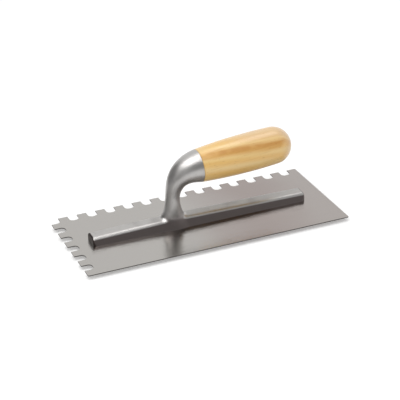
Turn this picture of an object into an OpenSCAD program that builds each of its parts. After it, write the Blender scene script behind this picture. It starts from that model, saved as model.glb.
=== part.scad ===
// Notched trowel: a steel blade with square-mouthed notches along one long and one short edge,
// riveted to a cast aluminium mounting whose swan neck carries a turned wooden handle.
// The origin is the middle of the blade's working face, +X runs along the blade towards the
// handle's free end, +Y towards the notched long edge, +Z up. Millimetres.

/* [Blade] */
// Length of the blade, along its notched long edge
blade_l = 280; // [240:5:320]
// Width of the blade, along its notched short edge
blade_w = 120; // [100:5:150]
// Thickness of the blade's sheet
blade_t = 1; // [0.8:0.1:1.5]
// Rounding of the blade's plain corners, seen from above
blade_corner_r = 1.2; // [0.5:0.1:3]

/* [Notches] */
// Width of one notch
notch_w = 10; // [6:1:12]
// Depth of one notch, from the edge to its bottom
notch_d = 10; // [6:1:12]
// Width of the tooth between two notches
tooth_w = 10; // [6:1:12]
// Radius in the two bottom corners of a notch
notch_r = 4; // [1:0.5:5]

/* [Mounting spine] */
// Length of the spine that the blade is riveted to
spine_l = 232; // [200:2:236]
// Width of the spine at the blade, beside the neck
spine_w = 24; // [20:1:28]
// Width of the spine's top, between its slanted sides
spine_top_w = 14; // [11:1:17]
// Height of the spine beside the neck
spine_h = 10; // [8:0.5:13]
// Height of the spine at its two ends
spine_end_h = 7.8; // [7:0.2:8]
// Rounding along the two top edges of the spine
spine_edge_r = 2; // [1:0.25:3]
// Width of the bevels on the spine's end edges and end corners
spine_end_cut = 3; // [1:0.5:4]

/* [Mounting neck] */
// Distance of the neck behind the middle of the blade
neck_x = 28.4; // [10:0.2:40]
// Length of the neck's flared foot along the blade
foot_l = 38; // [30:1:46]
// Width of the neck's flared foot across the blade
foot_w = 25.2; // [22:0.2:30]
// Radius of the neck where its bend starts
neck_r = 8.1; // [7:0.1:10]
// Height over the working face at which the bend starts
bend_z = 24; // [20:1:30]
// Radius of the cup that the handle butts against
cup_r = 16.8; // [14.5:0.1:18.5]

/* [Handle] */
// Height of the joint between cup and handle over the working face
joint_z = 60.9; // [50:0.1:75]
// Upward lean of the handle, in degrees
lean = 4; // [0:0.5:8]
// Length of the handle from the cup to its rounded end
handle_l = 101.5; // [90:0.5:125]
// Largest radius of the handle
grip_r = 19.65; // [18.6:0.05:24]
// Distance of the fattest place from the cup
grip_at = 58; // [45:1:65]
// Radius of the tenon that sits in the cup's socket
tenon_r = 10; // [8:0.25:12]
// Length of the tenon
tenon_l = 12; // [8:0.5:14]

/* [Tie rod, washer and nut] */
// Radius of the threaded tie rod
rod_r = 3; // [2.5:0.25:4]
// Length of the tie rod that is screwed into the mounting
rod_engage = 10; // [8:0.5:12]
// Length of the tie rod that stands out of the nut
rod_proud = 2; // [1:0.25:3]
// Depth of the counterbore's floor below its rim
counterbore_d = 11; // [9:0.5:16]
// Radius of the counterbore at the handle's end
counterbore_r = 7.5; // [7:0.25:9]
// Outer radius of the washer
washer_r = 6.2; // [5.5:0.1:6.5]
// Thickness of the washer
washer_t = 1.6; // [1:0.2:2.2]
// Width across the nut's flats
nut_af = 10; // [8.5:0.5:11]
// Height of the nut
nut_h = 5; // [4:0.5:6]

/* [Rivets] */
// Number of rivets along the spine
rivet_count = 8; // [4:1:12]
// Distance of the outermost rivets from the spine's ends
rivet_inset = 12; // [8:1:20]
// Radius of a rivet's shank
rivet_r = 2; // [1.5:0.1:2.5]
// Radius of a rivet's countersunk head
rivet_head_r = 3.5; // [3:0.1:4]
// Metal left between a rivet's blind hole and the spine's top
rivet_cover = 2; // [1.5:0.1:3]

/* [Fits] */
// Gap all round the tenon in its socket
tenon_gap = 0.15; // [0.05:0.05:0.4]
// Gap all round the tie rod in the handle
rod_gap = 0.3; // [0.1:0.05:0.5]
// Gap all round a thread or a rivet in its own hole
thread_gap = 0.05; // [0.02:0.01:0.1]
// Gap at the blind end of a hole
end_gap = 0.5; // [0.3:0.1:1]

/* [Hidden] */
$fn = 64;

steel = [0.66, 0.65, 0.63];
aluminium = [0.60, 0.59, 0.57];
zinc = [0.74, 0.74, 0.72];
beech = [0.87, 0.72, 0.47];

eps = 0.01;
pitch = notch_w + tooth_w;
far_notches = floor(blade_l / pitch);
left_notches = floor(blade_w / pitch);

// Spine: its sides slant by side_draft, and each arm's top falls towards its end
side_draft = atan((spine_w - spine_top_w) / 2 / spine_h);
arm_overlap = 4;

// Neck: four control points of its bend, each with x, z and the radius there. The second pulls
// straight up and draws a waist in, the third pulls back along the handle's axis.
pull_up = 13;
waist_in = 3.3;
pull_back = 28;
cup_in = 4.6;
bend_start = [-neck_x, bend_z, neck_r];
bend_rise = [-neck_x, bend_z + pull_up, neck_r - waist_in];
bend_aim = [-pull_back * cos(lean), joint_z - pull_back * sin(lean), cup_r - cup_in];
bend_end = [0, joint_z, cup_r];
foot_rings = 8;
bend_rings = 24;
ring_sides = 40;

// Handle, measured along its own axis from the cup. Its side is one long arc and its end a
// dome: the largest ball inside that arc which reaches handle_l, so the two meet smoothly.
barrel_r = (pow(grip_at, 2) + pow(grip_r - cup_r, 2)) / (2 * (grip_r - cup_r));
barrel_y = barrel_r - grip_r;
past_grip = handle_l - grip_at;
dome_r = (pow(barrel_r, 2) - pow(barrel_y, 2) - pow(past_grip, 2)) / (2 * (barrel_r - past_grip));
dome_at = handle_l - dome_r;
meet_at = grip_at + (dome_at - grip_at) * barrel_r / (barrel_r - dome_r);
rim_at = dome_at + sqrt(pow(dome_r, 2) - pow(counterbore_r, 2));
floor_at = rim_at - counterbore_d;
socket_d = tenon_l + end_gap;
rod_from = -socket_d - rod_engage;
rod_to = floor_at + washer_t + nut_h + rod_proud;

// Rivets: from the working face into blind holes in the spine
rivet_pitch = (spine_l - 2 * rivet_inset) / (rivet_count - 1);
rivet_head_h = rivet_head_r - rivet_r;
rivet_l = blade_t + spine_end_h - rivet_cover - end_gap;
function rivet_x(i) = -spine_l / 2 + rivet_inset + (i - 1) * rivet_pitch;

// Rectangle about the origin with round corners
module rounded_plan(l, w, r) {
    square([l - 2 * r, w], center = true);
    square([l, w - 2 * r], center = true);
    for (x = [-1, 1], y = [-1, 1])
        translate([x * (l / 2 - r), y * (w / 2 - r)]) circle(r);
}

// One notch, its mouth on the line y = 0 and its bottom at y = -notch_d
module notch_plan() {
    translate([-notch_w / 2, notch_r - notch_d]) square([notch_w, notch_d - notch_r + 1]);
    translate([notch_r - notch_w / 2, -notch_d]) square([notch_w - 2 * notch_r, notch_d]);
    for (x = [-1, 1])
        translate([x * (notch_w / 2 - notch_r), notch_r - notch_d]) circle(notch_r);
}

module blade_plan() {
    difference() {
        rounded_plan(blade_l, blade_w, blade_corner_r);
        for (i = [0 : far_notches - 1])
            translate([-blade_l / 2 + notch_w / 2 + i * pitch, blade_w / 2]) notch_plan();
        for (i = [0 : left_notches - 1])
            translate([-blade_l / 2, blade_w / 2 - notch_w / 2 - i * pitch])
                rotate(90) notch_plan();
    }
}

// A rivet, or with a gap the hole that holds it
module rivet_body(gap, l) {
    cylinder(h = rivet_head_h + gap, r1 = rivet_head_r + gap, r2 = rivet_r);
    cylinder(h = l, r = rivet_r + gap);
}

module rivet_holes() {
    for (i = [1 : rivet_count])
        translate([rivet_x(i), 0, -eps]) rivet_body(thread_gap, rivet_l + end_gap);
}

module blade() {
    color(steel) difference() {
        linear_extrude(blade_t) blade_plan();
        rivet_holes();
    }
}

// Cross-section of the spine: slanted sides and two rounded top edges; it runs on below y = 0
module spine_section() {
    r = spine_edge_r;
    below = spine_h / 2;
    arc_x = (spine_w / 2 * cos(side_draft) - r - (spine_h - r) * sin(side_draft)) / cos(side_draft);
    base_x = spine_w / 2 + below * tan(side_draft);
    side_x = arc_x + r * cos(side_draft);
    side_y = spine_h - r + r * sin(side_draft);
    polygon([[-base_x, -below], [base_x, -below], [side_x, side_y], [arc_x, spine_h],
             [-arc_x, spine_h], [-side_x, side_y]]);
    for (x = [-arc_x, arc_x]) translate([x, spine_h - r]) circle(r);
}

// One arm from the neck to the spine's end at x = reach, its top falling by fall degrees
module spine_arm(reach, fall) {
    rotate([0, fall, 0]) translate([-arm_overlap, 0, 0])
        rotate([90, 0, 90]) linear_extrude(reach + 2 * arm_overlap) spine_section();
}

// The two arms, cut to the spine's length and to the plane of the blade
module spine_bar() {
    left = spine_l / 2 - neck_x;
    right = spine_l / 2 + neck_x;
    intersection() {
        translate([-neck_x, 0, blade_t]) {
            spine_arm(right, atan((spine_h - spine_end_h) / right));
            mirror([1, 0, 0]) spine_arm(left, atan((spine_h - spine_end_h) / left));
        }
        translate([-spine_l / 2, -spine_w, blade_t]) cube([spine_l, 2 * spine_w, 2 * spine_h]);
    }
}

// The bar with its end edges and end corners taken off
module spine() {
    end_y = spine_w / 2 - (spine_h - spine_end_h) * tan(side_draft);
    difference() {
        spine_bar();
        for (side = [-1, 1]) translate([side * spine_l / 2, 0, blade_t]) {
            translate([0, 0, spine_end_h]) rotate([0, 45, 0])
                cube([spine_end_cut, 2 * spine_w, spine_end_cut], center = true);
            for (y = [-end_y, end_y]) translate([0, y, 0]) rotate(45)
                cube([spine_end_cut, spine_end_cut, 4 * spine_h], center = true);
        }
    }
}

function bezier(t) = pow(1 - t, 3) * bend_start + 3 * pow(1 - t, 2) * t * bend_rise
                     + 3 * (1 - t) * t * t * bend_aim + pow(t, 3) * bend_end;
function bezier_slope(t) = pow(1 - t, 2) * (bend_rise - bend_start)
                           + 2 * (1 - t) * t * (bend_aim - bend_rise)
                           + t * t * (bend_end - bend_aim);
// Half a size of the flared foot, at a share u of the way up to the bend
function flare(size, u) = neck_r + (size / 2 - neck_r) * pow(1 - u, 1.6);
// A ring round the point at x and z, square to the direction at angle a, with the radius
// along in the neck's own plane and across out of it
function ring(x, z, a, along, across) = [for (k = [0 : ring_sides - 1])
    let (turn = 360 * k / ring_sides)
    [x - along * cos(turn) * sin(a), across * sin(turn), z + along * cos(turn) * cos(a)]];

// The neck from its foot on the blade to the rim of the cup, as one swept solid
module neck() {
    foot = [for (k = [0 : foot_rings - 1])
        let (u = k / foot_rings)
        ring(-neck_x, blade_t + u * (bend_z - blade_t), 90, flare(foot_l, u), flare(foot_w, u))];
    bend = [for (k = [0 : bend_rings])
        let (t = k / bend_rings, p = bezier(t), d = bezier_slope(t))
        ring(p[0], p[1], atan2(d[1], d[0]), p[2], p[2])];
    rings = concat(foot, bend);
    last = len(rings) - 1;
    walls = [for (i = [0 : last - 1], k = [0 : ring_sides - 1])
        let (a = i * ring_sides + k, b = i * ring_sides + (k + 1) % ring_sides)
        [a, b, b + ring_sides, a + ring_sides]];
    caps = [[for (k = [ring_sides - 1 : -1 : 0]) k],
            [for (k = [0 : ring_sides - 1]) last * ring_sides + k]];
    polyhedron([for (one = rings) each one], concat(walls, caps));
}

// Places a shape drawn along +Z on the handle's axis, with z = 0 at the cup's rim
module on_handle_axis(s = 0) {
    translate([0, 0, joint_z]) rotate([0, 90 - lean, 0]) translate([0, 0, s]) children();
}

module mounting() {
    color(aluminium) difference() {
        union() {
            spine();
            neck();
        }
        rivet_holes();
        on_handle_axis(-socket_d) cylinder(h = socket_d + 1, r = tenon_r + tenon_gap);
        on_handle_axis(rod_from - end_gap)
            cylinder(h = rod_engage + end_gap + 1, r = rod_r + thread_gap);
    }
}

// Half outline of the turned handle: a shallow barrel with a round end
module handle_profile() {
    intersection() {
        translate([-barrel_y, grip_at]) circle(barrel_r, $fn = 720);
        union() {
            square([2 * grip_r, meet_at]);
            translate([0, dome_at]) circle(dome_r);
        }
        square([2 * grip_r, handle_l]);
    }
}

module handle() {
    color(beech) on_handle_axis() difference() {
        union() {
            rotate_extrude() handle_profile();
            translate([0, 0, -tenon_l]) cylinder(h = tenon_l + 1, r = tenon_r);
        }
        translate([0, 0, -tenon_l - 1]) cylinder(h = handle_l + tenon_l, r = rod_r + rod_gap);
        translate([0, 0, floor_at]) cylinder(h = handle_l, r = counterbore_r);
    }
}

module tie_rod() {
    color(zinc) on_handle_axis(rod_from) cylinder(h = rod_to - rod_from, r = rod_r);
}

module washer() {
    color(zinc) on_handle_axis(floor_at) difference() {
        cylinder(h = washer_t, r = washer_r);
        translate([0, 0, -1]) cylinder(h = washer_t + 2, r = rod_r + rod_gap);
    }
}

// Hexagon nut with its corners turned off at both ends
module nut() {
    corner_r = nut_af / 2 / cos(30);
    color(zinc) on_handle_axis(floor_at + washer_t) difference() {
        intersection() {
            cylinder(h = nut_h, r = corner_r, $fn = 6);
            cylinder(h = nut_h, r1 = nut_af / 2, r2 = nut_af / 2 + nut_h);
            cylinder(h = nut_h, r1 = nut_af / 2 + nut_h, r2 = nut_af / 2);
        }
        translate([0, 0, -1]) cylinder(h = nut_h + 2, r = rod_r + thread_gap);
    }
}

module rivet(i) {
    color(zinc) translate([rivet_x(i), 0, 0]) rivet_body(0, rivet_l);
}

blade();
mounting();
handle();
tie_rod();
washer();
nut();
for (i = [1 : rivet_count])
    rivet(i);
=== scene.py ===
import math

import bmesh
import bpy
import numpy as np
from mathutils import Matrix, Vector


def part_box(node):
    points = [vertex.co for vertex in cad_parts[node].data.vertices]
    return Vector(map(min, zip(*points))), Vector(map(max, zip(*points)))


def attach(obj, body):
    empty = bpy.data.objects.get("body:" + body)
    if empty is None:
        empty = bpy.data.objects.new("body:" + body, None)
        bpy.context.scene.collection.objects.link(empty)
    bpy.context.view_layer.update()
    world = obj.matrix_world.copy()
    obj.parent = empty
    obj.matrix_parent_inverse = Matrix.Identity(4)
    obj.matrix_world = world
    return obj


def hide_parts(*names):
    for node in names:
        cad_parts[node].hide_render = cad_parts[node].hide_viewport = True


mm = 0.001
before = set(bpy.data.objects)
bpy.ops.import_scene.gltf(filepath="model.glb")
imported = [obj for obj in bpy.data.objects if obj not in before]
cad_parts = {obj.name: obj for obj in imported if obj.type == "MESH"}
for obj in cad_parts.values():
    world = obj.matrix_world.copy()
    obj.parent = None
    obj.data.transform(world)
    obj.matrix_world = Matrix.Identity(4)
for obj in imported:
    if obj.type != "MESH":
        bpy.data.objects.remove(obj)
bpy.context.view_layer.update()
print("frame loaded:", len(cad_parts), "nodes")


def cadSize(node):
    # lowest and highest corner of a node in millimetres
    low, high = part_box(node)
    return low / mm, high / mm


bladeLow, bladeHigh = cadSize("blade")
mountLow, mountHigh = cadSize("mounting")


# The handle's axis leans up from the joint point, the middle of the cup's rim
lean = math.radians(4)
jointHeight = 60.9
handleAxis = Vector((math.cos(lean), 0, math.sin(lean)))
jointPoint = Vector((0, 0, jointHeight))


# One wrapped output of a node: sums on it add Math nodes to its graph
class Wire:
    def __init__(self, graph, node, socket):
        self.graph = graph
        self.node = node
        self.socket = socket

    def out(self, name):
        return Wire(self.graph, self.node, self.node.outputs[name])

    def __add__(self, other):
        return self.graph.sum("ADD", self, other)

    def __sub__(self, other):
        return self.graph.sum("SUBTRACT", self, other)

    def __mul__(self, other):
        return self.graph.sum("MULTIPLY", self, other)

    def __radd__(self, other):
        return self.graph.sum("ADD", other, self)

    def __rsub__(self, other):
        return self.graph.sum("SUBTRACT", other, self)

    def __rmul__(self, other):
        return self.graph.sum("MULTIPLY", other, self)

    def __neg__(self):
        return self.graph.sum("MULTIPLY", self, -1.0)


# A shader or geometry tree that is written as Python expressions
class Graph:
    def __init__(self, tree):
        self.tree = tree

    def node(self, kind, settings=None, values=None, output=0):
        # settings first, because they decide which sockets the node has
        node = self.tree.nodes.new(kind)
        for name, value in (settings or {}).items():
            setattr(node, name, value)
        for name, value in (values or {}).items():
            if isinstance(value, Wire):
                self.tree.links.new(value.socket, node.inputs[name])
            else:
                node.inputs[name].default_value = value
        return Wire(self, node, node.outputs[output] if node.outputs else None)

    def sum(self, operation, *values, clamp=False):
        return self.node("ShaderNodeMath", {"operation": operation, "use_clamp": clamp},
                         dict(enumerate(values)))

    def clamp(self, value):
        return self.sum("ADD", value, 0.0, clamp=True)

    def band(self, value, start, end):
        # 0 before start and 1 after end, smooth between
        return self.node("ShaderNodeMapRange", {"interpolation_type": "SMOOTHSTEP"},
                         {"Value": value, "From Min": start, "From Max": end})

    def blend(self, factor, first, second):
        # colours meet in a Mix node: its colour sockets are numbers 6 and 7, its result number 2
        return self.node("ShaderNodeMix", {"data_type": "RGBA"},
                         {0: factor, 6: first, 7: second}, output=2)

    def tint(self, first, second):
        return self.node("ShaderNodeMix", {"data_type": "RGBA", "blend_type": "MULTIPLY"},
                         {0: 1.0, 6: first, 7: second}, output=2)

    def combine(self, x, y, z):
        return self.node("ShaderNodeCombineXYZ", values={0: x, 1: y, 2: z})

    def noise(self, place, scale, detail=2.0, roughness=0.5, distortion=0.0):
        return self.node("ShaderNodeTexNoise", values={
            "Vector": place, "Scale": scale, "Detail": detail,
            "Roughness": roughness, "Distortion": distortion})

    def place(self, stretch=(1, 1, 1), shift=(0, 0, 0), turn=(0, 0, 0)):
        # object coordinates in metres, moved and turned, then stretched
        here = self.node("ShaderNodeTexCoord", output="Object")
        moved = self.node("ShaderNodeMapping", {"vector_type": "TEXTURE"},
                          {"Vector": here, "Location": shift, "Rotation": turn})
        return self.node("ShaderNodeVectorMath", {"operation": "MULTIPLY"},
                         {0: moved, 1: stretch})

    def bump(self, height, distance, strength=1.0, under=None):
        values = {"Height": height, "Distance": distance, "Strength": strength}
        if under is not None:
            values["Normal"] = under
        return self.node("ShaderNodeBump", values=values)


def rgb(red, green, blue):
    # a colour written 0 to 255 as seen on a screen
    def linear(value):
        share = value / 255
        return share / 12.92 if share <= 0.04045 else ((share + 0.055) / 1.055) ** 2.4
    return linear(red), linear(green), linear(blue), 1.0


def emptyGraph(owner):
    # for the nodes of a material or of the world
    owner.use_nodes = True
    owner.node_tree.nodes.clear()
    return Graph(owner.node_tree)


def newMaterial(name, fixed, build):
    # build returns what varies, fixed holds what is the same all over
    material = bpy.data.materials.new(name)
    graph = emptyGraph(material)
    shader = graph.node("ShaderNodeBsdfPrincipled", values={**fixed, **build(graph)})
    graph.node("ShaderNodeOutputMaterial", values={"Surface": shader})
    return material


# Ground and polished sheet: fine scratches along the blade blur what it mirrors across them; a
# painted reflection of the handle warms and darkens its right half, and its dull stamped edges are
# painted dark, partly as painted shade
steelLook = {
    "colour": rgb(177, 174, 170),
    # painted reflection of the handle, warmer and darker than the steel
    "handleReflection": rgb(160, 150, 146),
    # the stamped edges: dull, and painted dark, partly their own look and partly painted shade
    "edge": rgb(88, 84, 82),
    "roughness": 0.09,
    "edgeRoughness": 0.5,
    "scratchDepth": 0.06 * mm,
    "handleReflectionFrom": (-30 * mm, 60 * mm),     # the stretch of x over which the painted reflection of the handle comes in
    "handleReflectionFade": (70 * mm, 130 * mm),     # and over which part of that goes again
    "handleReflectionFadeShare": 0.45,
    "wander": 100 * mm,                # how far clouds shift those stretches
    "edgeFacing": (0.5, 0.9),          # a face that looks up or down less than this is an edge
}


def bladeSteel(graph):
    look = steelLook
    scratches = graph.noise(graph.place((25, 3600, 400)), 1.0, detail=2.0, roughness=0.6)
    streaks = graph.noise(graph.place((12, 420, 60)), 1.0, detail=3.0, roughness=0.6)
    clouds = graph.noise(graph.place(), 9.0, detail=2.0)
    along = graph.node("ShaderNodeSeparateXYZ", values={0: graph.place()}, output="X")
    along = along + look["wander"] * (clouds - 0.5)
    # painted reflection of the handle: a warmer, darker tone over the right half that fades again
    # further right
    mirroredHandleFade = look["handleReflectionFadeShare"] * graph.band(along, *look["handleReflectionFade"])
    mirroredHandle = graph.band(along, *look["handleReflectionFrom"]) * (1 - mirroredHandleFade)
    facing = graph.node("ShaderNodeTexCoord", output="Normal")
    facing = graph.node("ShaderNodeSeparateXYZ", values={0: facing}, output="Z")
    # stamped edges: dull, and painted dark, partly as painted shade in the notches
    edge = 1 - graph.band(graph.sum("ABSOLUTE", facing), *look["edgeFacing"])
    colour = graph.blend(mirroredHandle, look["colour"], look["handleReflection"])
    shade = graph.clamp(0.96 + 0.08 * streaks)
    colour = graph.tint(colour, graph.combine(shade, shade, shade))
    roughness = look["roughness"] + 0.1 * (streaks - 0.5)
    roughness = roughness + edge * (look["edgeRoughness"] - roughness)
    return {"Base Color": graph.blend(edge, colour, look["edge"]), "Roughness": roughness,
            "Normal": graph.bump(scratches, look["scratchDepth"])}


# Tumbled casting: a satin skin with fine specks, duller on the spine's top; painted shade darkens
# its seam with the blade, and painted shade and reflection darken the spine's sides and its ends
castLook = {
    "colour": rgb(182, 180, 178),
    # its own pitted and clouded tone, and painted shade where it meets the blade
    "dark": rgb(136, 132, 130),
    # painted shade and reflection on the spine's sides and the neck's low flanks
    "side": rgb(116, 108, 106),
    # painted shade and reflection on the spine's ends
    "end": rgb(74, 66, 64),
    "roughness": 0.32,
    "topRoughness": 0.34,              # more than the rest
    "speckDepth": 0.15 * mm,
    "dentDepth": 0.25 * mm,
    "seamShadeHeight": (1.0 * mm, 2.8 * mm),  # heights above the working face
    "sideShadeHeight": (8.0 * mm, 18.0 * mm),
    "sideShadeFacing": (0.5, 0.7),          # how far a face looks up, or for the end sideways
    "topHeight": (10.5 * mm, 12.0 * mm),
    "topFacing": (0.9, 0.98),
    "endShadeFrom": ((mountHigh.x - 6) * mm, (mountHigh.x - 4) * mm),
    "endShadeFacing": (0.2, 0.4),
}


def castAluminium(graph):
    look = castLook
    specks = graph.noise(graph.place(), 900.0, detail=3.0, roughness=0.65)
    pits = graph.band(graph.noise(graph.place(), 520.0, detail=2.0), 0.62, 0.74)
    clouds = graph.noise(graph.place(), 55.0, detail=3.0)
    here = graph.node("ShaderNodeSeparateXYZ", values={0: graph.place()}, output="X")
    height = here.out("Z")
    # painted shade low down, where the casting meets the blade
    seam = 1 - graph.band(height, *look["seamShadeHeight"])
    facing = graph.node("ShaderNodeTexCoord", output="Normal")
    facing = graph.node("ShaderNodeSeparateXYZ", values={0: facing}, output="X")
    # painted shade and reflection on the spine's end faces
    end = graph.band(graph.sum("ABSOLUTE", here), *look["endShadeFrom"])
    end = end * graph.band(graph.sum("ABSOLUTE", facing), *look["endShadeFacing"])
    top = 1 - graph.band(height, *look["topHeight"])
    top = top * graph.band(facing.out("Z"), *look["topFacing"])
    # painted shade and reflection on low faces that don't look up
    side = 1 - graph.band(height, *look["sideShadeHeight"])
    side = side * (1 - graph.band(facing.out("Z"), *look["sideShadeFacing"]))
    # pits and clouds are the casting's own tone; the share low down at the blade is painted shade
    seamShadeAndWear = graph.clamp(0.3 * pits + 0.8 * seam + 0.3 * graph.band(clouds, 0.45, 0.75))
    roughness = look["roughness"] + 0.12 * (specks - 0.5) + 0.1 * pits
    roughness = graph.clamp(roughness + look["topRoughness"] * top)
    skin = graph.bump(specks, look["speckDepth"], 0.6)
    waves = graph.noise(graph.place(), 120.0, detail=2.0)
    dents = graph.bump(waves, look["dentDepth"], 0.35, under=skin)
    colour = graph.blend(seamShadeAndWear, look["colour"], look["dark"])
    colour = graph.blend(side, colour, look["side"])
    return {"Base Color": graph.blend(end, colour, look["end"]),
            "Roughness": roughness, "Normal": dents}


# Turned beech under clear lacquer: growth rings cut lengthwise, fine pores and short flecks, a
# dark streak along one side, and a painted sheen that makes the wood paler above the streak and at
# the tip
woodLook = {
    "light": rgb(232, 198, 134),
    "golden": rgb(228, 181, 100),
    "dark": rgb(194, 138, 68),
    # painted sheen: the lacquer's highlight, shown as paler wood
    "paintedSheen": rgb(216, 183, 140),
    "pore": rgb(160, 108, 54),
    "roughness": 0.34,
    "ringPace": 520,                   # radians of ring in a metre of wood
    "ringTilt": (0.13, 0.55),          # along and across the handle
    "ringWander": 5.0,
    "streakAngle": math.radians(62),
    "streakTwist": math.radians(330),  # in a metre of handle
    "sheenFrom": (20 * mm, 60 * mm),
    "tipSheenFrom": (80 * mm, 98 * mm),
    "poreDepth": 0.03 * mm,
}


def lacqueredBeech(graph):
    look = woodLook
    seat = {"shift": (0, 0, jointHeight * mm), "turn": (0, -lean, 0)}
    grain = graph.place((9, 130, 130), **seat)
    soft = graph.noise(grain, 1.0, detail=3.0, distortion=0.3)
    fine = graph.noise(graph.place((26, 900, 900), **seat), 1.0, detail=3.0, roughness=0.6)
    flecks = graph.noise(graph.place((260, 1500, 1500), **seat), 1.0, detail=1.0)
    along = graph.place(**seat)
    x = graph.node("ShaderNodeSeparateXYZ", values={0: along}, output="X")
    y, z = x.out("Y"), x.out("Z")
    tiltX, tiltY = look["ringTilt"]
    depth = y * tiltY + z + tiltX * x
    rings = graph.sum("SINE", look["ringPace"] * depth + look["ringWander"] * soft)
    lateWood = graph.clamp(0.75 * graph.clamp(0.5 + 0.5 * rings) + 0.5 * (soft - 0.5))
    colour = graph.blend(lateWood, look["light"], look["golden"])
    around = graph.sum("ARCTAN2", z, -y)
    streak = around - look["streakAngle"] + look["streakTwist"] * x + 0.5 * (soft - 0.5)
    # painted sheen over the handle's upper side, above the streak
    above = graph.band(streak, 0.0, 0.5) * graph.band(x, *look["sheenFrom"])
    patches = graph.noise(graph.place((40, 60, 60), **seat), 1.0, detail=2.0)
    # a dark streak along one side of the handle
    darkStreak = graph.band(streak, -0.45, 0.0) * (1 - graph.band(streak, 0.0, 0.2))
    darkStreak = darkStreak * graph.band(patches, 0.25, 0.6)
    # painted sheen at the tip
    tip = graph.band(x, *look["tipSheenFrom"])
    colour = graph.blend(graph.clamp(0.7 * above + 0.5 * tip), colour, look["paintedSheen"])
    colour = graph.blend(0.9 * darkStreak, colour, look["dark"])
    colour = graph.blend(0.35 * graph.band(fine, 0.5, 0.8), colour, look["dark"])
    colour = graph.blend(0.5 * graph.band(flecks, 0.66, 0.78), colour, look["pore"])
    return {"Base Color": colour, "Roughness": look["roughness"] + 0.1 * (fine - 0.5),
            "Normal": graph.bump(fine, look["poreDepth"], 0.4)}


# Zinc plate on the rod, washer and nut
zincLook = {"colour": rgb(206, 208, 206), "yellowed": rgb(196, 190, 164), "roughness": 0.3,
            "grainDepth": 0.02 * mm}


def zincPlate(graph):
    look = zincLook
    clouds = graph.noise(graph.place(), 420.0, detail=2.0)
    fine = graph.noise(graph.place(), 2600.0, detail=2.0)
    yellowing = graph.band(clouds, 0.45, 0.7)
    return {"Base Color": graph.blend(yellowing, look["colour"], look["yellowed"]),
            "Roughness": graph.clamp(look["roughness"] + 0.15 * (fine - 0.5)),
            "Normal": graph.bump(fine, look["grainDepth"], 0.3)}


# Rivet heads, ground flush together with the blade
rivetLook = {"colour": rgb(158, 156, 154), "light": rgb(182, 178, 172), "roughness": 0.24,
             "scratchDepth": 0.002 * mm}


def rivetSteel(graph):
    look = rivetLook
    scratches = graph.noise(graph.place((12, 1500, 80)), 1.0, detail=2.0)
    clouds = graph.noise(graph.place(), 260.0, detail=2.0)
    return {"Base Color": graph.blend(clouds, look["colour"], look["light"]),
            "Roughness": graph.clamp(look["roughness"] + 0.2 * (scratches - 0.5)),
            "Normal": graph.bump(scratches, look["scratchDepth"])}


metal = {"Metallic": 1.0}
lacquer = {"Coat Weight": 0.6, "Coat Roughness": 0.16, "Specular IOR Level": 0.4}
materials = {
    "blade": newMaterial("bladeSteel", metal, bladeSteel),
    "casting": newMaterial("castAluminium", metal, castAluminium),
    "wood": newMaterial("lacqueredBeech", lacquer, lacqueredBeech),
    "zinc": newMaterial("zincPlate", metal, zincPlate),
    "rivet": newMaterial("rivetSteel", metal, rivetSteel),
}
print("materials made:", len(materials))


def link(obj):
    bpy.context.scene.collection.objects.link(obj)
    return obj


def finishMesh(mesh, sharpAngle):
    # smooth faces that keep the edges sharper than the angle
    mesh.polygons.foreach_set("use_smooth", [True] * len(mesh.polygons))
    mesh.set_sharp_from_angle(angle=math.radians(sharpAngle))
    mesh.update()


def growPiece(name, sizes, material, build):
    # runs a geometry tree on its named sizes and keeps the result as a plain mesh
    tree = bpy.data.node_groups.new(name + "Tree", "GeometryNodeTree")
    graph = Graph(tree)
    tree.interface.new_socket(name="Geometry", in_out="OUTPUT", socket_type="NodeSocketGeometry")
    sockets = {}
    for label, value in sizes.items():
        kind = "NodeSocketInt" if isinstance(value, int) else "NodeSocketFloat"
        sockets[label] = tree.interface.new_socket(name=label, in_out="INPUT", socket_type=kind)
    entry = tree.nodes.new("NodeGroupInput")
    size = {label: Wire(graph, entry, entry.outputs[label]) for label in sizes}
    real = graph.node("GeometryNodeRealizeInstances", values={"Geometry": build(graph, size)})
    dressed = graph.node("GeometryNodeSetMaterial", values={"Geometry": real,
                                                            "Material": material})
    graph.node("NodeGroupOutput", values={"Geometry": dressed})
    piece = link(bpy.data.objects.new(name, bpy.data.meshes.new(name + "Seed")))
    modifier = piece.modifiers.new("grow", "NODES")
    modifier.node_group = tree
    for label, value in sizes.items():
        modifier[sockets[label].identifier] = value
    depsgraph = bpy.context.evaluated_depsgraph_get()
    mesh = bpy.data.meshes.new_from_object(piece.evaluated_get(depsgraph))
    piece.modifiers.clear()
    piece.data = mesh
    mesh.name = name
    return piece


def slab(graph, width, height, corner, steps, thickness, low):
    # a closed plate with round corners about the origin, standing on the height low
    outline = graph.node("GeometryNodeCurvePrimitiveQuadrilateral", {"mode": "RECTANGLE"},
                         {"Width": width, "Height": height})
    outline = graph.node("GeometryNodeFilletCurve", {"mode": "POLY"},
                         {"Curve": outline, "Count": steps, "Radius": corner})
    face = graph.node("GeometryNodeFillCurve", {"mode": "NGONS"}, {"Curve": outline})
    lid = graph.node("GeometryNodeExtrudeMesh", {"mode": "FACES"}, {
        "Mesh": face, "Offset": (0.0, 0.0, 1.0), "Offset Scale": thickness, "Individual": False})
    base = graph.node("GeometryNodeFlipFaces", values={"Mesh": face})
    both = graph.node("GeometryNodeJoinGeometry", values={"Geometry": lid})
    graph.tree.links.new(base.socket, both.node.inputs["Geometry"])
    closed = graph.node("GeometryNodeMergeByDistance", values={"Geometry": both,
                                                               "Distance": 0.001 * mm})
    return graph.node("GeometryNodeTransform", values={
        "Geometry": closed, "Translation": graph.combine(0.0, 0.0, low)})


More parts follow.
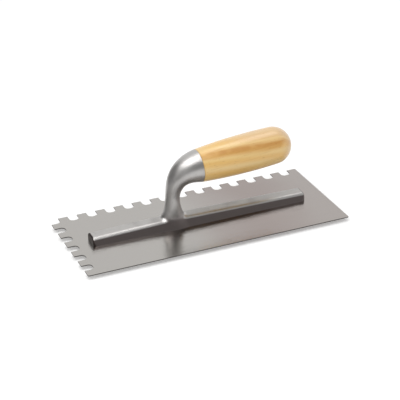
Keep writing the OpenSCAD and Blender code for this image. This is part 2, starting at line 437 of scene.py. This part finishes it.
def row(graph, count, start, step, shape, turn=(0.0, 0.0, 0.0)):
    # the same shape at even steps along a line
    line = graph.node("GeometryNodeMeshLine", {"mode": "OFFSET"},
                      {"Count": count, "Start Location": start, "Offset": step})
    copies = graph.node("GeometryNodeInstanceOnPoints",
                        values={"Points": line, "Instance": shape, "Rotation": turn})
    return graph.node("GeometryNodeRealizeInstances", values={"Geometry": copies})


def carve(graph, body, tool):
    return graph.node("GeometryNodeMeshBoolean", {"operation": "DIFFERENCE", "solver": "EXACT"},
                      {"Mesh 1": body, "Mesh 2": tool})


def join(graph, first, second):
    both = graph.node("GeometryNodeMeshBoolean", {"operation": "UNION", "solver": "EXACT"},
                      {"Mesh 2": first})
    graph.tree.links.new(second.socket, both.node.inputs["Mesh 2"])
    return both


# The blade: one stamped sheet, notched along its far long edge and its left short edge
blade = {
    "length": (bladeHigh.x - bladeLow.x) * mm,
    "width": (bladeHigh.y - bladeLow.y) * mm,
    "thickness": (bladeHigh.z - bladeLow.z) * mm,
    "cornerRadius": 1.2 * mm,
    "cornerSteps": 5,
    "notchWidth": 10.0 * mm,
    "notchDepth": 10.0 * mm,
    "notchRadius": 4.0 * mm,
    "notchSteps": 9,
    "pitch": 20.0 * mm,
    "edgeRounding": 0.12 * mm,
}
rivets = {
    "count": 8,
    "inset": 12.0 * mm,
    "shankRadius": 2.0 * mm,
    "headRadius": 3.5 * mm,
    "length": cadSize("rivet_1")[1].z * mm,
    "shankFrom": 0.1 * mm,  # inside the head
    "gap": 0.05 * mm,       # round the rivet in its holes
    "sides": 40,
}
spineLength = (mountHigh.x - mountLow.x) * mm
rivetSpan = spineLength - 2 * rivets["inset"]
rivetStep = rivetSpan / (rivets["count"] - 1)


def rivetHead(graph, size):
    # a cone of 45 degrees on the blade's working face
    return graph.node("GeometryNodeMeshCone", {"fill_type": "NGON"}, {
        "Vertices": size["sides"], "Radius Top": size["shankRadius"],
        "Radius Bottom": size["headRadius"], "Depth": size["headRadius"] - size["shankRadius"]})


def bladeTree(graph, size):
    plate = slab(graph, size["length"], size["width"], size["cornerRadius"], size["cornerSteps"],
                 size["thickness"], 0.0)
    cutter = slab(graph, size["notchWidth"], 2.0 * size["notchDepth"], size["notchRadius"],
                  size["notchSteps"], 3.0 * size["thickness"], -1.0 * size["thickness"])
    farStart = graph.combine(0.5 * size["notchWidth"] - 0.5 * size["length"],
                             0.5 * size["width"], 0.0)
    leftStart = graph.combine(-0.5 * size["length"],
                              0.5 * size["width"] - 0.5 * size["notchWidth"], 0.0)
    farRow = row(graph, size["farNotches"], farStart, graph.combine(size["pitch"], 0.0, 0.0),
                 cutter)
    leftRow = row(graph, size["leftNotches"], leftStart, graph.combine(0.0, -size["pitch"], 0.0),
                  cutter, turn=(0.0, 0.0, math.radians(90)))
    sink = rivetHead(graph, size)
    sink = graph.node("GeometryNodeTransform", values={
        "Geometry": sink, "Translation": graph.combine(0.0, 0.0, -size["overcut"])})
    sinks = row(graph, size["rivets"], graph.combine(-0.5 * size["rivetSpan"], 0.0, 0.0),
                graph.combine(size["rivetStep"], 0.0, 0.0), sink)
    return carve(graph, carve(graph, carve(graph, plate, farRow), leftRow), sinks)


bladeSizes = {name: value for name, value in blade.items() if name != "edgeRounding"}
bladeSizes.update({
    "farNotches": int(blade["length"] / blade["pitch"] + 0.001),  # whole pitches that fit
    "leftNotches": int(blade["width"] / blade["pitch"] + 0.001),
    "sides": rivets["sides"],
    "overcut": 0.01 * mm,
    "rivets": rivets["count"],
    "rivetSpan": rivetSpan,
    "rivetStep": rivetStep,
    "shankRadius": rivets["shankRadius"] + rivets["gap"],
    "headRadius": rivets["headRadius"] + rivets["gap"],
})
bladePiece = growPiece("blade_sheet", bladeSizes, materials["blade"], bladeTree)
finishMesh(bladePiece.data, 30)
rounding = bladePiece.modifiers.new("edges", "BEVEL")
rounding.width = blade["edgeRounding"]
rounding.segments = 2
rounding.limit_method = "ANGLE"
rounding.angle_limit = math.radians(40)
rounding.harden_normals = True
print("blade made:", len(bladePiece.data.polygons), "faces")


# Countersunk rivets in a row under the spine
def rivetTree(graph, size):
    head = rivetHead(graph, size)
    shank = graph.node("GeometryNodeMeshCylinder", {"fill_type": "NGON"}, {
        "Vertices": size["sides"], "Radius": size["shankRadius"],
        "Depth": size["length"] - size["shankFrom"]})
    middle = graph.combine(0.0, 0.0, 0.5 * (size["length"] + size["shankFrom"]))
    shank = graph.node("GeometryNodeTransform", values={"Geometry": shank, "Translation": middle})
    one = join(graph, head, shank)
    return row(graph, size["count"], graph.combine(-0.5 * size["span"], 0.0, 0.0),
               graph.combine(size["step"], 0.0, 0.0), one)


rivetSizes = {name: value for name, value in rivets.items() if name not in ("inset", "gap")}
rivetSizes.update({"span": rivetSpan, "step": rivetStep})
rivetPiece = growPiece("rivet_row", rivetSizes, materials["rivet"], rivetTree)
finishMesh(rivetPiece.data, 30)
print("rivets made:", len(rivetPiece.data.polygons), "faces")


# The mounting: a field that is below zero inside the casting, so that the neck's foot melts
# into the spine, wrapped in an even skin of quads
casting = {
    "spineTop": 14.0,       # width of the spine's flat top beside the neck
    "spineWidth": 24.0,     # width on the blade beside the neck
    "spineHeight": 10.0,
    "endHeight": 7.8,
    "endCut": 3.0,          # square across the corners seen from above
    "endTopCut": 1.0,       # and across the end's top edge
    "edgeRadius": 3.0,
    "endRadius": 0.8,
    "neckX": -28.4,
    "rootDepth": 3.0,       # how far below the blade's face the neck's line starts
    "footLength": 38.0,
    "footWidth": 25.2,
    "flareAlong": 1.6,      # powers: the larger, the lower the foot's flare stays
    "flareAcross": 3.5,
    "neckRadius": 8.1,
    "bendHeight": 24.0,     # where the straight stem turns into the bend
    "bendEase": 8.0,
    "pullUp": 13.0,         # the bend's two middle pulls, and how much thinner the neck is there
    "waistIn": 3.3,
    "pullBack": 28.0,
    "cupRadius": 16.8,
    "cupIn": 4.6,
    "pastCup": 0.06,        # share of the bend that runs on past the joint, to be cut flat
    "fillet": 3.5,
    "skinStep": 0.8,        # size of the skin's quads
}


def roundMax(a, b, radius):
    # the overlap of two solids with a rounded edge
    outside = np.hypot(np.maximum(a + radius, 0), np.maximum(b + radius, 0))
    return np.minimum(-radius, np.maximum(a, b)) + outside


def meltMin(a, b, radius):
    # the union of two solids with a hollow fillet
    share = np.maximum(radius - np.abs(a - b), 0) / radius
    return np.minimum(a, b) - share * share * radius / 4


def neckLine():
    # the neck's middle line: place in x and z, then its radius along and across
    c = casting
    rows = []
    low = bladeHigh.z - c["rootDepth"]
    flares = ((c["footLength"], c["flareAlong"]), (c["footWidth"], c["flareAcross"]))
    for height in np.linspace(low, c["bendHeight"], 28)[:-1]:
        share = max(1 - (height - bladeHigh.z) / (c["bendHeight"] - bladeHigh.z), 0)
        along, across = (c["neckRadius"] + (foot / 2 - c["neckRadius"]) * share ** power
                         for foot, power in flares)
        rows.append((c["neckX"], height, along, across))
    pulls = np.array([
        (c["neckX"], c["bendHeight"], c["neckRadius"]),
        (c["neckX"], c["bendHeight"] + c["pullUp"], c["neckRadius"] - c["waistIn"]),
        (-c["pullBack"] * handleAxis.x, jointHeight - c["pullBack"] * handleAxis.z,
         c["cupRadius"] - c["cupIn"]),
        (0, jointHeight, c["cupRadius"])])
    for t in np.linspace(0, 1 + c["pastCup"], 54):
        weights = np.array(((1 - t) ** 3, 3 * t * (1 - t) ** 2, 3 * t * t * (1 - t), t ** 3))
        x, z, radius = weights @ pulls
        rows.append((x, z, radius, radius))
    # the radii are eased over the bend, so that no crease is left where the waist starts
    rows = np.array(rows)
    travel = np.append(0, np.cumsum(np.hypot(np.diff(rows[:, 0]), np.diff(rows[:, 1]))))
    weights = np.maximum(1 - np.abs(travel[:, None] - travel) / c["bendEase"], 0)
    average = weights @ rows[:, 2:] / weights.sum(axis=1)[:, None]
    away = np.abs(travel - (c["bendHeight"] - low)) / (2 * c["bendEase"])
    share = np.maximum(1 - away ** 2, 0)[:, None] ** 2
    rows[:, 2:] += share * (average - rows[:, 2:])
    return rows


def neckField(p, line):
    # nearest place on the middle line, then the distance to the oval around it
    start, step = line[:-1], np.diff(line, axis=0)
    px, pz = p[:, None, 0] - start[:, 0], p[:, None, 2] - start[:, 1]
    share = (px * step[:, 0] + pz * step[:, 1]) / (step[:, 0] ** 2 + step[:, 1] ** 2)
    share = np.clip(share, 0, 1)
    away = np.hypot(px - share * step[:, 0], pz - share * step[:, 1])
    best = away.argmin(axis=1)
    pick = np.arange(len(p))
    t = share[pick, best]
    along = start[best, 2] + t * step[best, 2]
    across = start[best, 3] + t * step[best, 3]
    off = away[pick, best]
    tiny = 1e-9
    ratio = np.hypot(off / along, p[:, 1] / across) + tiny
    slope = np.hypot(off / along ** 2, p[:, 1] / across ** 2) + tiny
    return ratio * (ratio - 1) / slope


def castingField(p, line):
    # the tapered spine, which is highest beside the neck, melted together with the neck
    c = casting
    reach = np.where(p[:, 0] < c["neckX"], -mountLow.x + c["neckX"], mountHigh.x - c["neckX"])
    fall = (c["spineHeight"] - c["endHeight"]) * np.abs(p[:, 0] - c["neckX"]) / reach
    draft = math.atan((c["spineWidth"] - c["spineTop"]) / 2 / c["spineHeight"])
    height = p[:, 2] - bladeHigh.z
    top = height - (c["spineHeight"] - fall)
    leanIn = math.tan(draft) * (height + fall)
    side = (np.abs(p[:, 1]) - c["spineWidth"] / 2 + leanIn) * math.cos(draft)
    end = np.abs(p[:, 0]) - mountHigh.x
    endY = c["spineWidth"] / 2 - (c["spineHeight"] - c["endHeight"]) * math.tan(draft)
    topCut = (end + height - c["endHeight"]) / math.sqrt(2) + c["endTopCut"] / 2
    cornerCut = (end + np.abs(p[:, 1]) - endY) / math.sqrt(2) + c["endCut"] / 2
    spine = roundMax(top, side, c["edgeRadius"])
    for cut in (topCut, cornerCut, end):
        spine = roundMax(spine, cut, c["endRadius"])
    near = np.abs(p[:, 0] - c["neckX"]) < 2 * c["footLength"]
    neck = np.full(len(p), 99.0)  # well outside, where the neck doesn't reach
    neck[near] = neckField(p[near], line)
    return meltMin(spine, neck, c["fillet"])


def wrapField(field, low, high, step):
    # quads around a field's zero level, relaxed a few times and pulled onto it each time
    rounds, tries, nudge, least = 5, 3, 0.02, 0.05
    counts = [int((b - a) / step) + 2 for a, b in zip(low, high)]
    xs, ys, zs = (a + step * np.arange(n) for a, n in zip(low, counts))
    gx, gz = (g.ravel() for g in np.meshgrid(xs, zs, indexing="ij"))
    values = np.stack([field(np.stack((gx, np.full_like(gx, y), gz), 1)).reshape(len(xs), len(zs))
                       for y in ys], 1)
    inside = values < 0
    corners = sum(inside[a:counts[0] - 1 + a, b:counts[1] - 1 + b, c:counts[2] - 1 + c].astype(int)
                  for a in (0, 1) for b in (0, 1) for c in (0, 1))
    cells = np.argwhere((corners > 0) & (corners < 8))
    number = np.full(corners.shape, -1)
    number[tuple(cells.T)] = np.arange(len(cells))
    points = np.array(low) + (cells + 0.5) * step
    faces = []
    for axis in range(3):
        other, third = (axis + 1) % 3, (axis + 2) % 3
        first = inside.take(range(counts[axis] - 1), axis)
        second = inside.take(range(1, counts[axis]), axis)
        for flip in (False, True):
            edges = np.argwhere(second & ~first if flip else first & ~second)
            edges = edges[(edges[:, other] > 0) & (edges[:, third] > 0)]
            ring = []
            for back, down in ((1, 1), (0, 1), (0, 0), (1, 0)):
                cell = edges.copy()
                cell[:, other] -= back
                cell[:, third] -= down
                ring.append(number[tuple(cell.T)])
            ring = np.stack(ring[::-1] if flip else ring, 1)
            faces.append(ring[(ring >= 0).all(1)])
    faces = np.concatenate(faces)
    sides = np.concatenate([faces[:, [i, (i + 1) % 4]] for i in range(4)])
    for turn in range(rounds):
        if turn:
            total = np.zeros_like(points)
            tally = np.zeros(len(points))
            np.add.at(total, sides[:, 0], points[sides[:, 1]])
            np.add.at(tally, sides[:, 0], 1)
            points = np.where(tally[:, None] > 0, total / np.maximum(tally, 1)[:, None], points)
        for _ in range(tries):
            value = field(points)
            slope = np.stack([(field(points + nudge * np.eye(3)[i]) - value) / nudge
                              for i in range(3)], 1)
            points = points - slope * (value / np.maximum((slope ** 2).sum(1), least))[:, None]
    return points, faces


def cutFlat(shape, place, direction, lowest):
    # takes off what is higher than lowest and beyond a plane, and closes the cut with one face
    verts = [vert for vert in shape.verts if vert.co.z > lowest]
    edges = {edge for vert in verts for edge in vert.link_edges}
    faces = {face for vert in verts for face in vert.link_faces}
    bmesh.ops.bisect_plane(shape, geom=verts + list(edges) + list(faces), dist=1e-5,
                           plane_co=place, plane_no=direction, clear_outer=True)
    rim = [edge for edge in shape.edges if edge.is_boundary]
    bmesh.ops.edgeloop_fill(shape, edges=rim)


def makeMounting():
    line = neckLine()
    # room around the casting, less than the root's depth below it
    low = (mountLow.x - 2, mountLow.y - 4, bladeHigh.z - 2.5)
    high = (mountHigh.x + 2, mountHigh.y + 4, mountHigh.z + 3)
    points, faces = wrapField(lambda p: castingField(p, line), low, high, casting["skinStep"])
    mesh = bpy.data.meshes.new("casting_body")
    mesh.from_pydata(points.tolist(), [], faces.tolist())
    shape = bmesh.new()
    shape.from_mesh(mesh)
    stray = [edge for edge in shape.edges if edge.is_boundary]
    print("casting wrapped:", len(faces), "faces,", len(stray), "open edges")
    cutFlat(shape, jointPoint, handleAxis, casting["bendHeight"])
    cutFlat(shape, (0, 0, bladeHigh.z), (0, 0, -1), -1)
    bmesh.ops.recalc_face_normals(shape, faces=shape.faces[:])
    bmesh.ops.scale(shape, vec=(mm, mm, mm), verts=shape.verts[:])
    shape.to_mesh(mesh)
    shape.free()
    mesh.materials.append(materials["casting"])
    finishMesh(mesh, 40)
    return link(bpy.data.objects.new("casting_body", mesh))


mountingPiece = makeMounting()


# Turned pieces on the handle's axis: an outline of distance and radius, spun round it
def turned(name, outline, sides, material, radiusAt=None):
    axis, across = handleAxis, Vector((0, 1, 0))
    up = across.cross(axis) * -1
    verts, faces = [], []
    for distance, radius in outline:
        for k in range(sides):
            angle = 2 * math.pi * k / sides
            s, r = radiusAt(angle, distance, radius) if radiusAt else (distance, radius)
            point = jointPoint + axis * s + (across * math.cos(angle) + up * math.sin(angle)) * r
            verts.append(point * mm)
    for i in range(len(outline)):
        j = (i + 1) % len(outline)
        for k in range(sides):
            n = (k + 1) % sides
            faces.append((i * sides + k, i * sides + n, j * sides + n, j * sides + k))
    mesh = bpy.data.meshes.new(name)
    mesh.from_pydata(verts, [], faces)
    shape = bmesh.new()
    shape.from_mesh(mesh)
    bmesh.ops.recalc_face_normals(shape, faces=shape.faces[:])
    shape.to_mesh(mesh)
    shape.free()
    mesh.materials.append(material)
    finishMesh(mesh, 32)
    return link(bpy.data.objects.new(name, mesh))


# The handle: a long barrel arc that runs into a round end, with a tenon and a counterbore
handle = {
    "length": 101.5,
    "gripRadius": 19.65,
    "gripAt": 58.0,
    "tenonRadius": 10.0,
    "tenonLength": 12.0,
    "boreRadius": 3.3,
    "counterboreRadius": 7.5,
    "counterboreDepth": 11.0,
    "rimRounding": 0.8,
    "rimShare": 0.9,        # how much of the rounding lies along the axis
    "jointChamfer": 0.8,    # along the axis, and in from the cup's radius
    "jointIn": 0.9,
    "tenonChamfer": 0.8,
    "boreChamfer": 0.3,
    "floorRounding": 0.2,
}


def handleCurve():
    # radius and middle of the barrel arc, then of the dome inside it
    cup, grip, at = casting["cupRadius"], handle["gripRadius"], handle["gripAt"]
    barrel = (at ** 2 + (grip - cup) ** 2) / (2 * (grip - cup))
    middle = barrel - grip
    past = handle["length"] - at
    dome = (barrel ** 2 - middle ** 2 - past ** 2) / (2 * (barrel - past))
    domeAt = handle["length"] - dome
    meetAt = at + (domeAt - at) * barrel / (barrel - dome)
    return barrel, middle, dome, domeAt, meetAt


barrelRadius, barrelMiddle, domeRadius, domeAt, meetAt = handleCurve()
rimAt = domeAt + math.sqrt(domeRadius ** 2 - handle["counterboreRadius"] ** 2)
floorAt = rimAt - handle["counterboreDepth"]


def handleOutline():
    h = handle
    chamfer = h["jointChamfer"]
    barrel = [(s, math.sqrt(barrelRadius ** 2 - (s - h["gripAt"]) ** 2) - barrelMiddle)
              for s in np.linspace(chamfer, meetAt, 44)]
    rimStart = h["counterboreRadius"] + h["rimRounding"]
    first = math.acos((meetAt - domeAt) / domeRadius)
    last = math.asin(rimStart / domeRadius)
    dome = [(domeAt + domeRadius * math.cos(a), domeRadius * math.sin(a))
            for a in np.linspace(first, last, 26)[1:]]
    domeEnd = dome[-1][0]
    rim = [(domeEnd - h["rimRounding"] * (1 - math.cos(a)) * h["rimShare"],
            rimStart - h["rimRounding"] * math.sin(a)) for a in np.linspace(0, math.pi / 2, 7)[1:]]
    bore, boreCut = h["boreRadius"], h["boreChamfer"]
    wall, wallCut = h["counterboreRadius"], h["floorRounding"]
    inside = [(floorAt + wallCut, wall), (floorAt, wall - wallCut), (floorAt, bore + boreCut),
              (floorAt - boreCut, bore), (-h["tenonLength"], bore)]
    tenon = [(-h["tenonLength"], h["tenonRadius"] - h["tenonChamfer"]),
             (-h["tenonLength"] + h["tenonChamfer"], h["tenonRadius"]), (0, h["tenonRadius"])]
    face = [(0, casting["cupRadius"] - h["jointIn"])]
    return barrel + dome + rim + inside + tenon + face


handlePiece = turned("handle_grip", handleOutline(), 128, materials["wood"])
print("handle made:", len(handlePiece.data.polygons), "faces")


# Tie rod with a rolled thread at each end
rod = {"radius": 3.0, "core": 2.45, "pitch": 1.0, "engage": 10.5, "proud": 2.0,
       "threadLength": 16.0, "endCut": 0.6, "pinhole": 0.02}
washer = {"radius": 6.2, "thickness": 1.6, "hole": 3.3, "edge": 0.2}
nut = {"flats": 10.0, "height": 5.0, "hole": 3.05, "holeChamfer": 0.5, "cone": 0.58,
       "coneEdge": 0.2}
rodFrom = -handle["tenonLength"] - rod["engage"]
nutFrom = floorAt + washer["thickness"]
rodTo = nutFrom + nut["height"] + rod["proud"]
rodTip = rod["core"] - rod["endCut"] / 2
nutFlat = nut["flats"] / 2


def rodOutline():
    # the pinhole keeps the spun ends from meeting in a point
    step = rod["pitch"] / 6
    lower = [(s, rod["radius"]) for s in np.arange(rodFrom + rod["endCut"],
                                                   rodFrom + rod["threadLength"], step)]
    upper = [(s, rod["radius"]) for s in np.arange(rodTo - rod["threadLength"],
                                                   rodTo - rod["endCut"], step)]
    return ([(rodFrom, rod["pinhole"]), (rodFrom, rodTip)] + lower + upper
            + [(rodTo, rodTip), (rodTo, rod["pinhole"])])


def threadAt(angle, distance, radius):
    # the thread's grooves wind round and fade out towards the plain middle
    if radius < rod["radius"]:
        return distance, radius
    turn = (distance / rod["pitch"] - angle / (2 * math.pi)) % 1
    ridge = 1 - abs(2 * turn - 1)
    fade = min(1, (distance - rodFrom - rod["threadLength"]) ** 2,
               (rodTo - rod["threadLength"] - distance) ** 2)
    depth = (rod["radius"] - rod["core"]) * fade
    taper = rodTip + min(distance - rodFrom, rodTo - distance)
    return distance, min(rod["radius"] - depth * (1 - ridge), taper)


rodPiece = turned("tie_rod_stud", rodOutline(), 24, materials["zinc"], threadAt)


def washerOutline():
    hole, outer, edge = washer["hole"], washer["radius"], washer["edge"]
    return [(floorAt, hole), (floorAt, outer - edge), (floorAt + edge, outer),
            (nutFrom - edge, outer), (nutFrom - edge / 3, outer - edge / 3),
            (nutFrom, outer - edge), (nutFrom, hole + edge), (nutFrom - edge, hole)]


washerPiece = turned("washer_disc", washerOutline(), 72, materials["zinc"])


def nutOutline():
    # the rings at the corner radius are moved onto the hexagon afterwards
    inner, cut = nut["hole"], nut["holeChamfer"]
    flat, corner = nutFlat - nut["coneEdge"], nutFlat + 1
    top = nutFrom + nut["height"]
    return [(nutFrom, inner + cut), (nutFrom, flat), (nutFrom, corner), (top, corner),
            (top, flat), (top, inner + cut), (top - cut, inner), (nutFrom + cut, inner)]


def hexagonAt(angle, distance, radius):
    # the two side rings follow the hexagon, and their height the cone that trims its corners
    if radius <= nutFlat:
        return distance, radius
    sixth = math.pi / 3
    flat = nutFlat / math.cos((angle + sixth / 2) % sixth - sixth / 2)
    drop = (flat - nutFlat + nut["coneEdge"]) * nut["cone"]
    middle = nutFrom + nut["height"] / 2
    return (distance + drop if distance < middle else distance - drop), flat


nutPiece = turned("hexagon_nut", nutOutline(), 72, materials["zinc"], hexagonAt)
print("rod, washer and nut made")


# Holes in the mounting: the tenon's socket, the tapped hole behind it and the rivets' blind holes
holes = {"tenonGap": 0.15, "threadGap": 0.05, "endGap": 0.5, "overcut": 1.0, "sides": 64}


def mountingHoles():
    # start, end and radius of each
    h = holes
    socketEnd = jointPoint - handleAxis * (handle["tenonLength"] + h["endGap"])
    tapEnd = jointPoint + handleAxis * (rodFrom - h["endGap"])
    mouth = jointPoint + handleAxis * h["overcut"]
    rows = [(socketEnd, mouth, handle["tenonRadius"] + h["tenonGap"]),
            (tapEnd, jointPoint, rod["radius"] + h["threadGap"])]
    for i in range(rivets["count"]):
        x = (i * rivetStep - rivetSpan / 2) / mm
        rows.append((Vector((x, 0, bladeHigh.z - h["overcut"])),
                     Vector((x, 0, rivets["length"] / mm + h["endGap"])),
                     (rivets["shankRadius"] + rivets["gap"]) / mm))
    return rows


def drill(piece, rows):
    for start, end, radius in rows:
        shape = bmesh.new()
        turn = (end - start).to_track_quat("Z", "Y").to_matrix().to_4x4()
        bmesh.ops.create_cone(shape, cap_ends=True, segments=holes["sides"],
                              radius1=radius * mm, radius2=radius * mm,
                              depth=(end - start).length * mm,
                              matrix=Matrix.Translation((start + end) / 2 * mm) @ turn)
        drillBit = link(bpy.data.objects.new("drillBit", bpy.data.meshes.new("drillBit")))
        shape.to_mesh(drillBit.data)
        shape.free()
        cut = piece.modifiers.new("cut", "BOOLEAN")
        cut.object = drillBit
        cut.solver = "EXACT"
        depsgraph = bpy.context.evaluated_depsgraph_get()
        mesh = bpy.data.meshes.new_from_object(piece.evaluated_get(depsgraph))
        piece.modifiers.clear()
        piece.data = mesh
        bpy.data.objects.remove(drillBit)
    finishMesh(piece.data, 40)


drill(mountingPiece, mountingHoles())
print("mounting made:", len(mountingPiece.data.polygons), "faces")


# What stands for which node of the frame
pieces = [
    (bladePiece, "blade_steel", ["blade"]),
    (rivetPiece, "rivet_steel", [f"rivet_{i + 1}" for i in range(rivets["count"])]),
    (mountingPiece, "cast_aluminium", ["mounting"]),
    (handlePiece, "lacquered_wood", ["handle"]),
    (rodPiece, "plated_steel", ["tie_rod"]),
    (washerPiece, "plated_steel", ["washer"]),
    (nutPiece, "plated_steel", ["nut"]),
]
for piece, slot, nodes in pieces:
    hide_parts(*nodes)
    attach(piece, "root")
print("pieces placed:", len(pieces))


# Camera, with its angles in degrees
shot = {"azimuth": -23.3, "elevation": 27.76, "roll": -0.71, "lens": 123.7, "sensor": 36.0,
        "distance": 1.432, "aim": (0.0181, 0.0382, 0.0)}


def towards(azimuth, elevation):
    # a direction from the object, at 0,0 straight to the front
    azimuth, elevation = math.radians(azimuth), math.radians(elevation)
    return Vector((math.sin(azimuth) * math.cos(elevation),
                   -math.cos(azimuth) * math.cos(elevation), math.sin(elevation)))


def makeCamera():
    back = towards(shot["azimuth"], shot["elevation"])
    roll = math.radians(shot["roll"])
    level = Vector((0, 0, 1)).cross(back).normalized()
    upright = back.cross(level)
    right = math.cos(roll) * level + math.sin(roll) * upright
    up = back.cross(right)
    data = bpy.data.cameras.new("camera")
    data.lens = shot["lens"]
    data.sensor_width = shot["sensor"]
    camera = link(bpy.data.objects.new("camera", data))
    turn = Matrix((right, up, back)).transposed().to_4x4()
    camera.matrix_world = Matrix.Translation(Vector(shot["aim"]) + back * shot["distance"]) @ turn
    bpy.context.scene.camera = camera


makeCamera()


# Light: two soft boxes in an even white room. Four cards darken it to glossy rays only: each
# is a cone about a side, from its full darkness inside the inner angle to none at the outer
white = (1.0, 1.0, 1.0, 1.0)
roomLevel = 0.62  # how strongly the room lights, while it is seen as white
cards = [
    {"side": (12, 30), "inner": 26, "outer": 38, "level": 0.36},
    {"side": (72, 66), "inner": 10, "outer": 22, "level": 0.4},
    {"side": (-118, 4), "inner": 36, "outer": 50, "level": 0.3},
    {"side": (-38, 0), "inner": 8, "outer": 50, "level": 0.62},
]
softBoxes = [
    {"at": (-0.46, -0.22, 1.1), "size": (1.0, 1.05), "power": 7.3},
    {"at": (0.3, 0.2, 0.9), "size": (0.4, 0.4), "power": 1.1},
]


def raysAt(graph):
    # 1 for the rays that show a thing, straight or mirrored, then 1 for the mirrored ones only
    rays = graph.node("ShaderNodeLightPath", output="Is Camera Ray")
    glossy = rays.out("Is Glossy Ray")
    return graph.clamp(rays + glossy + rays.out("Is Transmission Ray")), glossy


def makeRoom():
    world = bpy.data.worlds.new("room")
    bpy.context.scene.world = world
    graph = emptyGraph(world)
    shown, glossy = raysAt(graph)
    direction = graph.node("ShaderNodeTexCoord", output="Generated")
    strength = shown + (1 - shown) * roomLevel
    for card in cards:
        facing = graph.node("ShaderNodeVectorMath", {"operation": "DOT_PRODUCT"},
                            {0: direction, 1: towards(*card["side"])}, output="Value")
        dark = graph.band(facing, math.cos(math.radians(card["outer"])),
                          math.cos(math.radians(card["inner"])))
        strength = strength * (1 - dark * glossy * (1 - card["level"]))
    background = graph.node("ShaderNodeBackground", values={"Color": white,
                                                            "Strength": strength})
    graph.node("ShaderNodeOutputWorld", values={"Surface": background})


def makeSoftBox(softBox):
    # hangs level and shines down
    data = bpy.data.lights.new("softBox", "AREA")
    data.shape = "RECTANGLE"
    data.size, data.size_y = softBox["size"]
    data.energy = softBox["power"]
    link(bpy.data.objects.new("softBox", data)).location = softBox["at"]


# The floor shows white where it is lit and keeps the object's soft shadow, glows more far off,
# and looks grey to the left to glossy rays only
floor = {
    "size": 8.0,
    "drop": 4.0 * mm,       # below the blade
    "bounce": 0.9,          # its lightness for the light that it throws back
    "shadowShare": 0.8,     # and where it is seen, which sets how deep the shadow looks
    "glow": 0.26,
    "farGlow": 0.35,
    "far": (0.4, 1.4),      # from the middle
    "greySide": (0.13, 0.24),  # to the left
    "greyLevel": 0.3,
}


def makeFloor():
    mesh = bpy.data.meshes.new("floor")
    half, low = floor["size"] / 2, -floor["drop"]
    mesh.from_pydata([(-half, -half, low), (half, -half, low), (half, half, low),
                      (-half, half, low)], [], [(0, 1, 2, 3)])
    material = bpy.data.materials.new("floorWhite")
    graph = emptyGraph(material)
    shown, glossy = raysAt(graph)
    leftwards = -graph.node("ShaderNodeSeparateXYZ", values={0: graph.place()}, output="X")
    grey = graph.band(leftwards, *floor["greySide"]) * glossy
    dimmed = 1 - grey * (1 - floor["greyLevel"])
    shown = shown * dimmed
    level = (floor["bounce"] + (floor["shadowShare"] - floor["bounce"]) * shown) * dimmed
    away = graph.node("ShaderNodeVectorMath", {"operation": "LENGTH"}, {0: graph.place()},
                      output="Value")
    strength = (floor["glow"] + floor["farGlow"] * graph.band(away, *floor["far"])) * shown
    matt = graph.node("ShaderNodeBsdfDiffuse",
                      values={"Color": graph.combine(level, level, level)})
    glow = graph.node("ShaderNodeEmission", values={"Color": white, "Strength": strength})
    both = graph.node("ShaderNodeAddShader", values={0: matt, 1: glow})
    graph.node("ShaderNodeOutputMaterial", values={"Surface": both})
    mesh.materials.append(material)
    ground = link(bpy.data.objects.new("floor", mesh))


makeRoom()
for softBox in softBoxes:
    makeSoftBox(softBox)
makeFloor()
bpy.context.scene.view_settings.view_transform = "Standard"
print("camera, light and floor made")
